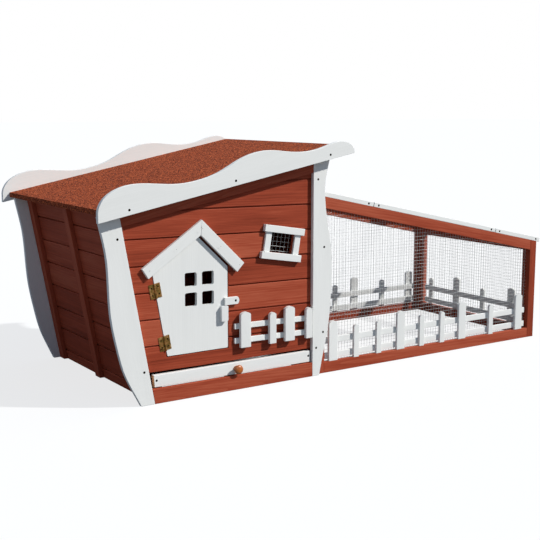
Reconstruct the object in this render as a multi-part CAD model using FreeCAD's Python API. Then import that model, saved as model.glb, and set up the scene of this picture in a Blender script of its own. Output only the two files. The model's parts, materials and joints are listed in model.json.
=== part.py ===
import FreeCAD, Part
import math
import os

# Rabbit hutch with a run. Lengths are millimetres, angles degrees.
# While it is drawn, x = 0 is the foot of the leaning left wall, y = 0 the outer face of the
# front boards and z = 0 the ground. It is saved about the middle of its box on the ground.

# Hutch body
hutch_width = 613
hutch_depth = 722
lean_angle = 10.15
board_thickness = 12
board_cover = 84
front_joint_height = 94.7
front_board_tilt = 0.9
side_joint_height = 33.2
rear_board_foot = 13
joint_gap = 5
joint_depth = 6
board_chamfer = 1.5
post_thickness = 14
right_post_setback = 11
batten_width = 38
batten_proud = 15
middle_batten_shift = 24
corner_batten_proud = 30
rail_height = 48
top_rail_drop = 35

# Outlines of the posts: shares of their height and of their width, from the foot up
left_post_height = 600
left_post_width = 90
rear_left_post_width = 73
left_post_shares = (
    (0, 0.52), (0.09, 0.73), (0.18, 0.905), (0.31, 0.99), (0.485, 1.0),
    (0.64, 0.87), (0.81, 0.745), (0.91, 0.765), (1.08, 0.775),
)
right_post_height = 740
right_post_width = 80
right_post_shares = (
    (0, 0.363), (0.1, 0.56), (0.21, 0.788), (0.34, 0.937), (0.5, 1.0), (0.6, 0.935),
    (0.7, 0.765), (0.8, 0.63), (0.88, 0.605), (0.94, 0.69), (1.04, 0.94),
)

# Roof
roof_height = 615
roof_pitch = 11
roof_left_overhang = 190
roof_right_overhang = 133.5
roof_front_overhang = 34
roof_rear_overhang = 50
deck_rise = 13
deck_thickness = 14
deck_left_inset = 27
deck_right_inset = 14
felt_thickness = 2
bargeboard_thickness = 14
bargeboard_height = 88
bargeboard_screw_rise = 15.5
bargeboard_screw_shares = (0.107, 0.5, 0.893)
bargeboard_wave_shares = (
    (0, 0.36), (0.016, 0.72), (0.057, 0.95), (0.115, 1.0), (0.175, 0.89), (0.292, 0.59),
    (0.366, 0.545), (0.436, 0.63), (0.502, 0.85), (0.561, 0.975), (0.64, 0.93),
    (0.722, 0.69), (0.797, 0.53), (0.862, 0.535), (0.928, 0.59), (0.963, 0.5), (0.987, 0.33), (1, 0.12),
)
lap_gap = 0.3

# Tray under the floor line
tray_slot_height = 49
tray_front_height = 38.5
tray_front_proud = 6
tray_front_lift = 3
tray_side_gap = 5
tray_end_slant = 4
pan_wall = 0.8
pan_height = 30
pan_side_gap = 2
pan_rear_gap = 2
runner_height = 20
runner_width = 26
runner_middle = 303
tray_screw_inset = 7
tray_screw_rise = 21
knob_x = 300
knob_rise = 18.5
knob_radius = 15.5
knob_neck_radius = 10
knob_length = 26
knob_head_share = 0.62

# Door and the gable trims over it
door_thickness = 13
door_foot = 143
door_left = 53
door_right = 273
door_shoulder = 404
door_apex_x = 167
door_apex_height = 511
door_right_shoulder = 409
door_gap = 3
door_corner_radius = 4
pane_width = 43
pane_height = 44
pane_corner_radius = 6
pane_group_x = 170
pane_group_height = 346
pane_spacing_x = 62
pane_spacing_z = 64
gable_inner_apex_x = 171
gable_inner_apex_height = 517
gable_left_slope = 33.5
gable_right_slope = 43.9
gable_left_length = 221
gable_right_length = 184
gable_trim_width = 38
gable_trim_thickness = 12
button_length = 53
button_height = 24
button_thickness = 10
button_pivot_x = 298
button_pivot_height = 296.5
button_overhang = 13
handle_left = 244
handle_width = 24
handle_foot = 233
handle_height = 50
handle_proud = 13
handle_corner_radius = 4

# Small window, turned a little in the wall
window_x = 481.5
window_height = 468
window_turn = 9.5
window_opening_width = 93
window_opening_height = 66
window_board_width = 23
window_board_overhang = 10
window_cap_thickness = 14
window_stile_thickness = 8
window_mesh_pitch = 15.5
window_mesh_overlap = 10

# Little fence on the front boards
mini_fence_foot = 138
mini_picket_thickness = 12
mini_rail_thickness = 8
mini_rail_height = 18
mini_rail_left = 295
mini_rail_right = 597
mini_rail_foot = 152.5
mini_rail_spacing = 48
mini_wide_picket = 39
mini_narrow_picket = 25.5
mini_wide_height = 118
mini_narrow_height = 105
mini_picket_kinds = ("wide", "narrow", "wide", "narrow")
mini_picket_shares = (0.118, 0.469, 0.695, 0.957)
picket_crown = 9

# Run
run_length = 1080
run_depth = 688
run_end_height = 386
run_pitch = 12.25
frame_thickness = 18
stile_width = 34
frame_rail_width = 38
top_board_thickness = 16
top_board_width = 34
cross_board_width = 42
top_panel_start = 2
top_end_overhang = 15
lid_start = 251
lid_length = 614
panel_seam = 4
top_screw_length = 60
mesh_wire = 1
mesh_margin = 12
side_mesh_pitch = 42
top_mesh_pitch = 50.8
top_mesh_clearance = 2
cross_mesh_lap = 7

# Fence round the run
picket_thickness = 10
fence_rail_height = 22
fence_rail_foot = 45
fence_rail_spacing = 55
fence_rail_end_gap = 10
wide_picket = 38
narrow_picket = 22
wide_picket_height = 142
narrow_picket_height = 117
picket_kinds = ("wide", "narrow", "narrow", "wide", "narrow", "narrow", "wide", "narrow", "wide")
picket_shares = (0.0685, 0.163, 0.2583, 0.3537, 0.4481, 0.5426, 0.637, 0.7787, 0.9204)
rear_picket_shares = (0.0698, 0.166, 0.2631, 0.3603, 0.4565, 0.5527, 0.6489, 0.7933, 0.9376)
end_picket_kinds = ("wide", "narrow", "wide", "narrow")
end_picket_shares = (0.169, 0.404, 0.632, 0.864)

# Way through the right wall into the run, between two battens and three boards high
pass_width = 200
pass_middle = 360

# Hinges: radius of the pin and knuckle, leaf plate, and how far the pin stands off the wood
pin_radius = 1.5
knuckle_radius = 3
knuckle_count = 5
leaf_thickness = 1.5
pin_stand_off = 3.5
knuckle_gap = 0.3
pin_head_radius = 2.4
pin_head_height = 1
door_hinge_length = 46
door_hinge_leaf = 19.5
door_hinge_shares = (0.165, 0.808)
roof_hinge_length = 70
roof_hinge_leaf = 30
roof_hinge_drop_leaf = 24
roof_hinge_shares = (0.2, 0.8)
lid_hinge_length = 60
lid_hinge_leaf = 13
lid_hinge_drop_leaf = 22
lid_hinge_shares = (0.2, 0.8)

# Screws, and their places on the posts as shares of the post's width, from its inner edge
# outward, and of its height
wood_screw_shank = 1.8
wood_screw_head = 4.2
wood_screw_head_depth = 2.6
hinge_screw_shank = 1.2
hinge_screw_head = 2.5
hinge_screw_head_depth = 1.4
post_screw_length = 28
bargeboard_screw_length = 38
tray_screw_bite = 1
hinge_screw_length = 9
running_gap = 0.05
left_screw_shares = ((0.233, 0.873), (0.178, 0.177))
rear_left_screw_shares = ((0.089, 0.873), (0.089, 0.177))
right_screw_shares = ((0.2375, 0.911), (0.575, 0.6), (0.55, 0.203), (0.19, 0.1325))
rear_right_screw_shares = ((0.0625, 0.911), (0.0625, 0.6), (0.0625, 0.203), (0.0625, 0.1325))

# Cuts run this far past what they cut
overrun = 2500

# Sizes that follow from those above
lean = math.tan(math.radians(lean_angle))
roof_slope = math.tan(math.radians(roof_pitch))
run_slope = math.tan(math.radians(run_pitch))
post_inner_x = hutch_width - right_post_setback
lining = board_thickness / math.cos(math.radians(lean_angle))
tray_front_thickness = board_thickness + tray_front_proud
tray_front_foot = rail_height + tray_front_lift
tray_left = lining - lean * tray_front_foot + lap_gap
tray_screw_length = tray_front_thickness + tray_screw_bite
fence_rail_thickness = frame_thickness - picket_thickness
inner_depth = hutch_depth - board_thickness
pan_depth = inner_depth - board_thickness - pan_rear_gap
run_left = hutch_width + batten_proud
run_right = run_left + run_length
tray_slot_top = rail_height + tray_slot_height
deck_front = -roof_front_overhang
deck_rear = hutch_depth + roof_rear_overhang
front_face = deck_front - bargeboard_thickness
rear_face = deck_rear + bargeboard_thickness
roof_left = -roof_left_overhang
roof_right = hutch_width + roof_right_overhang
deck_left = roof_left + deck_left_inset
deck_right = roof_right - deck_right_inset
rear_post_face = hutch_depth + post_thickness
wood_screw = (wood_screw_shank, wood_screw_head, wood_screw_head_depth)
hinge_screw = (hinge_screw_shank, hinge_screw_head, hinge_screw_head_depth)
x_axis = FreeCAD.Vector(1, 0, 0)
y_axis = FreeCAD.Vector(0, 1, 0)
z_axis = FreeCAD.Vector(0, 0, 1)
roof_along = FreeCAD.Vector(math.cos(math.radians(roof_pitch)), 0, math.sin(math.radians(roof_pitch)))
run_along = FreeCAD.Vector(math.cos(math.radians(run_pitch)), 0, -math.sin(math.radians(run_pitch)))
lean_up = FreeCAD.Vector(-math.sin(math.radians(lean_angle)), 0, math.cos(math.radians(lean_angle)))
run_up = FreeCAD.Vector(math.sin(math.radians(run_pitch)), 0, math.cos(math.radians(run_pitch)))
top_far_end = run_length / math.cos(math.radians(run_pitch)) + top_end_overhang
far_corner = run_along * top_far_end + run_up * top_board_thickness
overall_right = run_left + far_corner.x
shift = FreeCAD.Vector(-(roof_left + overall_right) / 2, -(front_face + rear_face) / 2, 0)


def roof_line(x):
    """Height of the bargeboards' lower edge."""
    return roof_height + roof_slope * x


def under_roof(x):
    """Height that the walls reach, just clear of the deck."""
    return roof_line(x) + deck_rise - lap_gap


def run_line(x):
    """Height of the run's side frames."""
    return run_end_height + run_slope * (run_right - x)


def wall_x(z):
    """Outer face of the leaning left wall at a height."""
    return -lean * z


def block(x_low, x_high, y_low, y_high, z_low, z_high):
    """A plain board between six planes."""
    corner = FreeCAD.Vector(x_low, y_low, z_low)
    return Part.makeBox(x_high - x_low, y_high - y_low, z_high - z_low, corner)


def slab(outline, y_low, y_high):
    """A board cut to an outline of (x, z) points."""
    points = [FreeCAD.Vector(x, y_low, z) for x, z in outline]
    face = Part.Face(Part.makePolygon(points + points[:1]))
    return face.extrude(FreeCAD.Vector(0, y_high - y_low, 0))


def curved_slab(curve, corners, y_low, y_high):
    """A board with one smooth side through the curve's points and straight sides from there."""
    smooth = [FreeCAD.Vector(x, y_low, z) for x, z in curve]
    straight = smooth[-1:] + [FreeCAD.Vector(x, y_low, z) for x, z in corners] + smooth[:1]
    spline = Part.BSplineCurve()
    spline.interpolate(smooth)
    wire = Part.Wire([spline.toShape()] + Part.makePolygon(straight).Edges)
    return Part.Face(wire).extrude(FreeCAD.Vector(0, y_high - y_low, 0))


def turned(shape, centre, axis, angle):
    """A copy turned about an axis."""
    copy = shape.copy()
    copy.rotate(centre, axis, angle)
    return copy


def moved(shape, offset):
    """A copy moved by a vector."""
    copy = shape.copy()
    copy.translate(offset)
    return copy


def mirrored_to_rear(shape, depth):
    """The same piece at the rear of something that is this deep."""
    return shape.mirror(FreeCAD.Vector(0, depth / 2, 0), y_axis)


def rounded(shape, axis, radius):
    """The shape with its edges along an axis rounded."""
    edges = [edge for edge in shape.Edges if abs(edge.tangentAt(edge.FirstParameter).dot(axis)) > 0.999]
    return shape.makeFillet(radius, edges)


def clipped(shapes, envelope):
    """What lies inside an envelope, as separate solids."""
    return [solid for shape in shapes for solid in shape.common(envelope).Solids]


def without(shapes, tools):
    """The shapes with the tools cut out of those that they meet, as separate solids."""
    pieces = []
    for shape in shapes:
        near = [tool for tool in tools if tool.BoundBox.intersect(shape.BoundBox)]
        pieces += (shape.cut(near) if near else shape).Solids
    return pieces


def screw(point, direction, length, size, grow=0):
    """A countersunk screw with its head flush at the point, or the hole for it when grown."""
    shank, head, depth = size
    cone = Part.makeCone(head + grow, shank + grow, depth, point, direction)
    body = Part.makeCylinder(shank + grow, length + grow, point, direction)
    return cone.fuse(body).removeSplitter()


def screws_and_holes(points, direction, length, size):
    """Screws at the points, and the holes that take them."""
    screws = [screw(point, direction, length, size) for point in points]
    holes = [screw(point, direction, length, size, running_gap) for point in points]
    return screws, holes


def net(outline, pitch, left, right, rows):
    """Welded wire in the (x, z) plane: a sheet with square holes, cut short at a slanting edge.

    rows gives the lowest and highest height of the open part at an x.
    """
    points = [FreeCAD.Vector(x, 0, z) for x, z in outline]
    wires = [Part.makePolygon(points + points[:1])]
    for column in range(math.ceil((right - left) / pitch)):
        start = left + column * pitch
        end = min(start + pitch - mesh_wire, right)
        low, high = rows(start)
        shorter = min(high, rows(end)[1])
        for row in range(math.ceil((shorter - low) / pitch - 1 / 4)):
            foot = low + row * pitch
            full = foot + pitch - mesh_wire
            hole = [(start, foot), (end, foot), (end, min(full, rows(end)[1])), (start, min(full, high))]
            wires.append(Part.makePolygon([FreeCAD.Vector(x, 0, z) for x, z in hole + hole[:1]]))
    return Part.makeFace(wires, "Part::FaceMakerBullseye").extrude(FreeCAD.Vector(0, mesh_wire, 0))


def planks(left, right, first_joint, count, tilt):
    """Boards one above another with their outer faces at y = 0 and a shadow gap at each joint."""
    fall = math.tan(math.radians(tilt))
    width = right - left
    boards = []
    for number in range(count):
        low = first_joint + number * board_cover - fall * left
        high = low + board_cover
        section = [
            (0, low + joint_gap), (joint_depth, low + joint_gap), (joint_depth, low),
            (board_thickness, low), (board_thickness, high),
            (board_chamfer, high), (0, high - board_chamfer),
        ]
        points = [FreeCAD.Vector(left, y, z) for y, z in section]
        face = Part.Face(Part.makePolygon(points + points[:1]))
        boards.append(face.extrude(FreeCAD.Vector(width, 0, -fall * width)))
    return boards


def plank_count(height):
    """Boards needed to reach a height, with one to spare below and above."""
    return int(height / board_cover) + 2


def body_envelope(foot):
    """Space of the hutch body from a foot height to the deck, over its whole depth."""
    corner = under_roof(0) / (1 + lean * roof_slope)
    outline = [
        (wall_x(foot), foot), (hutch_width, foot),
        (hutch_width, under_roof(hutch_width)), (wall_x(corner), corner),
    ]
    return slab(outline, -overrun, overrun)


def below_roof():
    """Everything between the ground and the deck."""
    outline = [(-overrun, 0), (overrun, 0), (overrun, under_roof(overrun)), (-overrun, under_roof(-overrun))]
    return slab(outline, -overrun, overrun)


def below_run_top():
    """Everything between the ground and the top of the run's side frames."""
    outline = [(0, 0), (run_right, 0), (run_right, run_line(run_right)), (0, run_line(0))]
    return slab(outline, -overrun, overrun)


def leaning(shape):
    """A shape drawn upright at x = 0, laid back with the left wall."""
    return turned(shape, FreeCAD.Vector(0, 0, 0), y_axis, -lean_angle)


# Door, gable and window outlines, and the openings for them

def door_left_edge(z):
    """The leaning left edge of the door."""
    return door_left - lean * (z - door_foot)


def gable_inner_points():
    """The trims' inner edges: left end, apex and right end."""
    left = math.radians(gable_left_slope)
    right = math.radians(gable_right_slope)
    apex = (gable_inner_apex_x, gable_inner_apex_height)
    left_reach = (gable_left_length * math.cos(left), gable_left_length * math.sin(left))
    right_reach = (gable_right_length * math.cos(right), gable_right_length * math.sin(right))
    low_left = (apex[0] - left_reach[0], apex[1] - left_reach[1])
    low_right = (apex[0] + right_reach[0], apex[1] - right_reach[1])
    return low_left, apex, low_right


def door_outline():
    """The door from its left foot round to its left shoulder."""
    return [
        (door_left_edge(door_foot), door_foot), (door_right, door_foot),
        (door_right, door_right_shoulder), (door_apex_x, door_apex_height),
        (door_left_edge(door_shoulder), door_shoulder),
    ]


def door_opening():
    """The hole in the front boards: a gap round the door, and the trims' inner edges above."""
    apex_x, apex_z = gable_inner_points()[1]
    foot = door_foot - door_gap
    right = door_right + door_gap
    left_fall = math.tan(math.radians(gable_left_slope))
    right_fall = math.tan(math.radians(gable_right_slope))
    left_foot = door_left_edge(foot) - door_gap
    shoulder = (apex_z - left_fall * (apex_x - left_foot - lean * foot)) / (1 + left_fall * lean)
    outline = [
        (left_foot, foot), (right, foot),
        (right, apex_z - right_fall * (right - apex_x)), (apex_x, apex_z),
        (left_foot - lean * (shoulder - foot), shoulder),
    ]
    return slab(outline, -overrun, overrun)


def window_turned(shape):
    """A shape drawn level about the window's centre, turned with the window."""
    return turned(shape, FreeCAD.Vector(window_x, 0, window_height), y_axis, window_turn)


def window_opening():
    """The hole in the front boards behind the window."""
    half_width = window_opening_width / 2
    half_height = window_opening_height / 2
    return window_turned(block(
        window_x - half_width, window_x + half_width, -overrun, overrun,
        window_height - half_height, window_height + half_height,
    ))


# Walls

def front_boards(holes):
    """Front boards, cut for the door and the window."""
    left = wall_x(under_roof(0))
    count = plank_count(under_roof(hutch_width))
    boards = planks(left, hutch_width, front_joint_height, count, front_board_tilt)
    boards = clipped(boards, body_envelope(tray_slot_top))
    return without(boards, [door_opening(), window_opening()] + holes)


def rear_boards(holes):
    """Rear boards, level, with their outer faces at the back."""
    width = hutch_width - wall_x(under_roof(0))
    boards = planks(0, width, rear_board_foot, plank_count(under_roof(hutch_width)), 0)
    boards = [turned(board, FreeCAD.Vector(0, 0, 0), z_axis, 180) for board in boards]
    boards = [moved(board, FreeCAD.Vector(hutch_width, hutch_depth, 0)) for board in boards]
    return without(clipped(boards, body_envelope(rear_board_foot)), holes)


def left_boards():
    """Boards of the leaning wall, between the front and the rear boards."""
    width = inner_depth - board_thickness
    boards = planks(0, width, side_joint_height - board_cover, plank_count(under_roof(0)) + 1, 0)
    boards = [turned(board, FreeCAD.Vector(0, 0, 0), z_axis, -90) for board in boards]
    boards = [leaning(moved(board, FreeCAD.Vector(0, inner_depth, 0))) for board in boards]
    return clipped(boards, below_roof())


def right_boards(holes):
    """Boards of the upright wall beside the run, with the way through."""
    width = inner_depth - board_thickness
    boards = planks(0, width, rear_board_foot, plank_count(under_roof(hutch_width)), 0)
    boards = [turned(board, FreeCAD.Vector(0, 0, 0), z_axis, 90) for board in boards]
    boards = [moved(board, FreeCAD.Vector(hutch_width, board_thickness, 0)) for board in boards]
    way_through = block(
        0, overrun, pass_middle - pass_width / 2, pass_middle + pass_width / 2,
        rear_board_foot + board_cover, rear_board_foot + 4 * board_cover,
    )
    return without(clipped(boards, below_roof()), [way_through] + holes)


def left_battens(holes):
    """Upright battens on the outside of the leaning wall."""
    middle = (hutch_depth - batten_width) / 2 + middle_batten_shift
    places = ((0, corner_batten_proud), (middle, batten_proud), (hutch_depth - batten_width, batten_proud))
    battens = [block(-proud, 0, y, y + batten_width, -overrun, overrun) for y, proud in places]
    return without(clipped([leaning(batten) for batten in battens], below_roof()), holes)


def right_battens(holes):
    """Upright battens on the outside of the right wall: two corners and two beside the way through."""
    rear = run_depth - (frame_thickness + batten_width) / 2
    beside = (pass_middle - pass_width / 2 - batten_width, pass_middle + pass_width / 2)
    battens = [
        block(hutch_width, run_left, y, y + batten_width, 0, overrun) for y in (0, *beside, rear)
    ]
    return without(clipped(battens, below_roof()), holes)


def left_post(width, holes):
    """Wavy post that leans with the wall, in front of its end."""
    curve = []
    for height_share, width_share in left_post_shares:
        z = height_share * left_post_height
        curve.append((wall_x(z) - width_share * width, z))
    top = curve[-1][1]
    post = curved_slab(curve, [(wall_x(top), top), (0, 0)], -post_thickness, 0)
    return without(clipped([post], below_roof()), holes)


def right_post(holes):
    """Wavy post at the corner towards the run."""
    curve = []
    for height_share, width_share in right_post_shares:
        curve.append((post_inner_x + width_share * right_post_width, height_share * right_post_height))
    top = curve[-1][1]
    post = curved_slab(curve, [(post_inner_x, top), (post_inner_x, 0)], -post_thickness, 0)
    return without(clipped([post], below_roof()), holes)


def front_rails():
    """Sloping top rail and bottom rail between the posts."""
    reach = wall_x(under_roof(0))
    top = roof_slab(reach, post_inner_x, -top_rail_drop, deck_rise, -post_thickness, 0)
    bottom = block(reach, post_inner_x, -post_thickness, 0, 0, rail_height)
    return clipped([top, bottom], body_envelope(0))


def to_rear(shapes):
    """The same pieces on the back of the hutch."""
    return [mirrored_to_rear(shape, hutch_depth) for shape in shapes]


def runners():
    """Three runners that carry the tray, from the front rail to the rear boards."""
    low = rail_height - runner_height + tray_front_lift
    high = low + runner_height
    right = hutch_width - board_thickness
    left_outline = [
        (wall_x(low) + lining, low), (lining + runner_width, low),
        (lining + runner_width, high), (wall_x(high) + lining, high),
    ]
    half = runner_width / 2
    return [
        slab(left_outline, board_thickness, inner_depth),
        block(runner_middle - half, runner_middle + half, 0, inner_depth, low, high - tray_front_lift),
        block(right - runner_width, right, board_thickness, inner_depth, low, high),
    ]


def post_screw_points(left_shares, right_shares, y):
    """Screw places on a left and a right post."""
    points = []
    for width_share, height_share in left_shares:
        z = height_share * left_post_height
        points.append(FreeCAD.Vector(wall_x(z) - width_share * left_post_width, y, z))
    for width_share, height_share in right_shares:
        z = height_share * right_post_height
        points.append(FreeCAD.Vector(post_inner_x + width_share * right_post_width, y, z))
    return points


# Trims, window and little fence on the front

def gable_trims():
    """Two mitred boards over the door."""
    low_left, apex, low_right = gable_inner_points()
    left = math.radians(gable_left_slope)
    right = math.radians(gable_right_slope)
    left_out = (-math.sin(left) * gable_trim_width, math.cos(left) * gable_trim_width)
    right_out = (math.sin(right) * gable_trim_width, math.cos(right) * gable_trim_width)
    half_turn = (left + right) / 2
    mitre = gable_trim_width / math.cos(half_turn)
    lean_of_mitre = (right - left) / 2
    outer = (apex[0] + mitre * math.sin(lean_of_mitre), apex[1] + mitre * math.cos(lean_of_mitre))
    left_trim = [low_left, apex, outer, (low_left[0] + left_out[0], low_left[1] + left_out[1])]
    right_trim = [apex, low_right, (low_right[0] + right_out[0], low_right[1] + right_out[1]), outer]
    return [slab(outline, -gable_trim_thickness, 0) for outline in (left_trim, right_trim)]


def window_boards():
    """Two stiles and, over their ends, two longer boards."""
    half_width = window_opening_width / 2
    half_height = window_opening_height / 2
    outer_width = half_width + window_board_width
    cap_reach = outer_width + window_board_overhang
    boards = []
    for side in (-1, 1):
        inner, outer = sorted((side * half_width, side * outer_width))
        boards.append(block(
            window_x + inner, window_x + outer, -window_stile_thickness, 0,
            window_height - half_height, window_height + half_height,
        ))
        low, high = sorted((side * half_height, side * (half_height + window_board_width)))
        boards.append(block(
            window_x - cap_reach, window_x + cap_reach, -window_cap_thickness, 0,
            window_height + low, window_height + high,
        ))
    return [window_turned(board) for board in boards]


def window_mesh():
    """Welded wire over the inside of the window's opening."""
    half_width = window_opening_width / 2
    half_height = window_opening_height / 2
    left = window_x - half_width
    right = window_x + half_width
    low = window_height - half_height
    high = window_height + half_height
    lap = window_mesh_overlap
    outline = [
        (left - lap, low - lap), (right + lap, low - lap),
        (right + lap, high + lap), (left - lap, high + lap),
    ]
    sheet = net(outline, window_mesh_pitch, left + mesh_wire, right, lambda x: (low + mesh_wire, high))
    return [window_turned(moved(sheet, FreeCAD.Vector(0, board_thickness, 0)))]


def picket(middle, width, foot, height, y_low, y_high):
    """A flat picket with a round top."""
    half = width / 2
    shoulder = foot + height - picket_crown
    left = middle - half
    right = middle + half
    corners = [(left, shoulder), (left, foot), (right, foot), (right, shoulder)]
    points = [FreeCAD.Vector(x, y_low, z) for x, z in corners]
    crown = Part.Arc(points[-1], FreeCAD.Vector(middle, y_low, foot + height), points[0]).toShape()
    wire = Part.Wire(Part.makePolygon(points).Edges + [crown])
    return Part.Face(wire).extrude(FreeCAD.Vector(0, y_high - y_low, 0))


def mini_fence_pickets():
    """Pickets nailed to the little rails."""
    back = -mini_rail_thickness
    front = back - mini_picket_thickness
    pickets = []
    for kind, share in zip(mini_picket_kinds, mini_picket_shares):
        wide = kind == "wide"
        width = mini_wide_picket if wide else mini_narrow_picket
        height = mini_wide_height if wide else mini_narrow_height
        x = mini_rail_left + share * (mini_rail_right - mini_rail_left)
        pickets.append(picket(x, width, mini_fence_foot, height, front, back))
    return pickets


def mini_fence_rails():
    """Two rails that fall to the right with the boards."""
    fall = math.tan(math.radians(front_board_tilt)) * (mini_rail_right - mini_rail_left)
    rails = []
    for foot in (mini_rail_foot, mini_rail_foot + mini_rail_spacing):
        outline = [
            (mini_rail_left, foot), (mini_rail_right, foot - fall),
            (mini_rail_right, foot - fall + mini_rail_height), (mini_rail_left, foot + mini_rail_height),
        ]
        rails.append(slab(outline, -mini_rail_thickness, 0))
    return rails


# Door, its handle and the turn button

def door_panel(holes):
    """Flush door with four small panes left open."""
    panel = slab(door_outline(), 0, door_thickness)
    panel = rounded(panel, y_axis, door_corner_radius)
    half_width = pane_width / 2
    half_height = pane_height / 2
    panes = []
    for column in (-1 / 2, 1 / 2):
        for row in (-1 / 2, 1 / 2):
            x = pane_group_x + column * pane_spacing_x
            z = pane_group_height + row * pane_spacing_z
            pane = block(x - half_width, x + half_width, -overrun, overrun, z - half_height, z + half_height)
            panes.append(rounded(pane, y_axis, pane_corner_radius))
    return without([panel], panes + holes)


def door_handle():
    """Wooden block to pull the door by."""
    handle = block(
        handle_left, handle_left + handle_width, -handle_proud, 0,
        handle_foot, handle_foot + handle_height,
    )
    return [rounded(handle, y_axis, handle_corner_radius)]


def turn_button(holes):
    """Wooden button on one screw that holds the door shut, round at the pivot's end."""
    right = button_pivot_x + button_overhang
    left = right - button_length
    half = button_height / 2
    low = button_pivot_height - half
    high = button_pivot_height + half
    curve_start = right - half / 2
    front = -button_thickness - lap_gap
    corners = ((curve_start, high), (left, high), (left, low), (curve_start, low))
    points = [FreeCAD.Vector(x, front, z) for x, z in corners]
    end = Part.Arc(points[-1], FreeCAD.Vector(right, front, button_pivot_height), points[0]).toShape()
    wire = Part.Wire(Part.makePolygon(points).Edges + [end])
    body = Part.Face(wire).extrude(FreeCAD.Vector(0, button_thickness, 0))
    return without([body], holes)


# Tray

def tray_front(holes):
    """White strip that closes the tray's slot, with its left end cut at a slant beside the post."""
    low = tray_front_foot
    high = low + tray_front_height
    right = post_inner_x - tray_side_gap
    left_top = tray_left - tray_front_height * math.tan(math.radians(tray_end_slant))
    outline = [(tray_left, low), (right, low), (right, high), (left_top, high)]
    return without([slab(outline, -tray_front_proud, tray_front_thickness - tray_front_proud)], holes)


def tray_pan(holes):
    """Thin steel pan behind the strip."""
    left = tray_left + pan_side_gap
    right = post_inner_x - tray_side_gap - pan_side_gap
    front = tray_front_thickness - tray_front_proud
    foot = tray_front_foot + lap_gap
    outer = block(left, right, front, front + pan_depth, foot, foot + pan_height)
    inner = block(
        left + pan_wall, right - pan_wall, front + pan_wall, front + pan_depth - pan_wall,
        foot + pan_wall, foot + overrun,
    )
    return without([outer.cut(inner)], holes)


def tray_knob():
    """Turned wooden knob: a neck and a flattened ball."""
    head_depth = knob_length * knob_head_share
    neck = knob_length - head_depth
    face = -tray_front_proud
    ball = Part.makeSphere(knob_radius)
    flatten = FreeCAD.Matrix()
    flatten.scale(1, head_depth / 2 / knob_radius, 1)
    ball = ball.transformGeometry(flatten)
    height = tray_front_foot + knob_rise
    ball.translate(FreeCAD.Vector(knob_x, face - neck - head_depth / 2, height))
    root = FreeCAD.Vector(knob_x, face, height)
    stem = Part.makeCylinder(knob_neck_radius, neck + head_depth / 2, root, y_axis * -1)
    return [ball.fuse(stem).removeSplitter()]


def tray_screw_points():
    """One screw near each end of the strip."""
    left = tray_left + tray_screw_inset
    right = post_inner_x - tray_side_gap - tray_screw_inset
    height = tray_front_foot + tray_screw_rise
    return [FreeCAD.Vector(x, -tray_front_proud, height) for x in (left, right)]


# Roof

def roof_slab(left, right, low, high, y_low, y_high):
    """A board that follows the roof between two heights above the bargeboards' lower edge."""
    outline = [(left, roof_line(left) + low), (right, roof_line(right) + low),
               (right, roof_line(right) + high), (left, roof_line(left) + high)]
    return slab(outline, y_low, y_high)


def roof_deck(holes):
    """Flat deck between the bargeboards."""
    top = deck_rise + deck_thickness
    return without([roof_slab(deck_left, deck_right, deck_rise, top, deck_front, deck_rear)], holes)


def roof_felt():
    """Roofing felt over the deck, turned down over both ends."""
    top = deck_rise + deck_thickness
    cover = roof_slab(
        deck_left - felt_thickness, deck_right + felt_thickness, deck_rise, top + felt_thickness,
        deck_front, deck_rear,
    )
    return cover.cut(roof_slab(deck_left, deck_right, 0, top, deck_front, deck_rear)).Solids


def bargeboard(y_low, y_high, holes):
    """Board with a wavy upper edge that hides the end of the deck."""
    length = roof_right - roof_left
    curve = []
    for length_share, height_share in bargeboard_wave_shares:
        x = roof_left + length_share * length
        curve.append((x, roof_line(x) + height_share * bargeboard_height))
    corners = [(roof_right, roof_line(roof_right)), (roof_left, roof_line(roof_left))]
    return without([curved_slab(curve, corners, y_low, y_high)], holes)


def bargeboard_screw_points(y):
    """Screws through a bargeboard into the deck's edge."""
    places = [roof_left + share * (roof_right - roof_left) for share in bargeboard_screw_shares]
    return [FreeCAD.Vector(x, y, roof_line(x) + bargeboard_screw_rise) for x in places]


# Run frames

def run_side_stiles(holes):
    """Upright members of the front frame, full height."""
    stiles = [
        block(x, x + stile_width, 0, frame_thickness, 0, overrun)
        for x in (run_left, run_right - stile_width)
    ]
    return without(clipped(stiles, below_run_top()), holes)


def run_side_rails():
    """Bottom rail and sloping top rail between the stiles."""
    left = run_left + stile_width
    right = run_right - stile_width
    depth = frame_rail_width / math.cos(math.radians(run_pitch))
    top = [
        (left, run_line(left) - depth), (right, run_line(right) - depth),
        (right, run_line(right)), (left, run_line(left)),
    ]
    return [block(left, right, 0, frame_thickness, 0, frame_rail_width), slab(top, 0, frame_thickness)]


def run_end_frame():
    """Two stiles and two rails of the frame that closes the end."""
    left = run_right - frame_thickness
    front = frame_thickness
    rear = run_depth - frame_thickness
    pieces = [
        block(left, run_right, y, y + stile_width, 0, overrun) for y in (front, rear - stile_width)
    ]
    for low in (0, run_end_height - frame_rail_width):
        high = frame_rail_width if low == 0 else overrun
        pieces.append(block(left, run_right, front + stile_width, rear - stile_width, low, high))
    return clipped(pieces, below_run_top())


def run_side_mesh():
    """Welded wire on the inner side of the front frame."""
    left = run_left + stile_width
    right = run_right - stile_width
    depth = frame_rail_width / math.cos(math.radians(run_pitch))
    low = frame_rail_width - mesh_margin
    outline = [
        (left - mesh_margin, low), (right + mesh_margin, low),
        (right + mesh_margin, run_line(right + mesh_margin) - depth + mesh_margin),
        (left - mesh_margin, run_line(left - mesh_margin) - depth + mesh_margin),
    ]
    sheet = net(outline, side_mesh_pitch, left, right, lambda x: (frame_rail_width, run_line(x) - depth))
    return [moved(sheet, FreeCAD.Vector(0, frame_thickness, 0))]


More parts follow.
